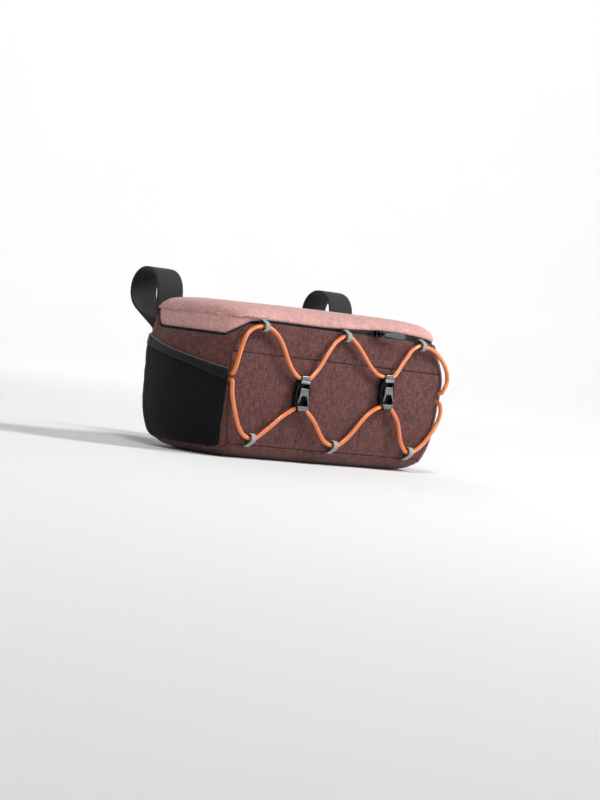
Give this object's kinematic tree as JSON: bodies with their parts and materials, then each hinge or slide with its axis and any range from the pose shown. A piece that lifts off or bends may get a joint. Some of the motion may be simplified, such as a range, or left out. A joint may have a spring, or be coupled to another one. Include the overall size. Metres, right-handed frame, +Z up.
{
  "type": "handlebar bag",
  "caption": "Padded box-shaped handlebar bag with a domed zipped lid, stretch mesh end pockets, an elastic cord laced over the front through webbing tabs and clips, and bar straps behind.",
  "frame": {"origin": "on the flat base, under the middle of the bag's width", "axes": "+X towards the bag's right end as seen from the front, -Y out of the front with the laced cord, +Y towards the bar straps, +Z up"},
  "size_m": [0.2496, 0.1532, 0.1374],
  "materials": {
    "body_cloth": "maroon heather polyester, padded",
    "lid_cloth": "dusty pink heather polyester, padded",
    "pocket_mesh": "black stretch knit",
    "pocket_elastic": "black ribbed elastic",
    "webbing": "grey woven tape",
    "strap_cloth": "black hook and loop strap",
    "cord_sheath": "orange braided sheath over rubber",
    "clip_plastic": "black moulded plastic, semi-gloss",
    "zip_tape": "dark coated zip tape",
    "zip_metal": "dark cast metal"
  },
  "bodies": {
    "bag": {"bottom_tray": "body_cloth", "front_panel": "body_cloth", "front_yoke": "body_cloth", "end_panel_left": "body_cloth", "end_panel_right": "body_cloth", "back_panel": "body_cloth", "lid": "lid_cloth", "zip_tape": "zip_tape", "zip_slider": "zip_metal", "mesh_pocket_left": "pocket_mesh", "mesh_pocket_right": "pocket_mesh", "pocket_hem_left": "pocket_elastic", "pocket_hem_right": "pocket_elastic", "tab_top_1": "webbing", "tab_top_2": "webbing", "tab_top_3": "webbing", "tab_bottom_1": "webbing", "tab_bottom_2": "webbing", "tab_bottom_3": "webbing", "strap_left": "strap_cloth", "strap_right": "strap_cloth", "bungee_upper": "cord_sheath", "bungee_lower": "cord_sheath", "clip_left": "clip_plastic", "clip_right": "clip_plastic"},
    "zip_pull": {"zip_pull": "zip_metal"}
  },
  "joints": [
    {"name": "zip_pull_swing", "type": "hinge", "parent": "bag", "child": "zip_pull", "pos_m": [0.0355, -0.0607, 0.10653], "axis": [0, 0, -1], "range_deg": [0, 150]}
  ]
}
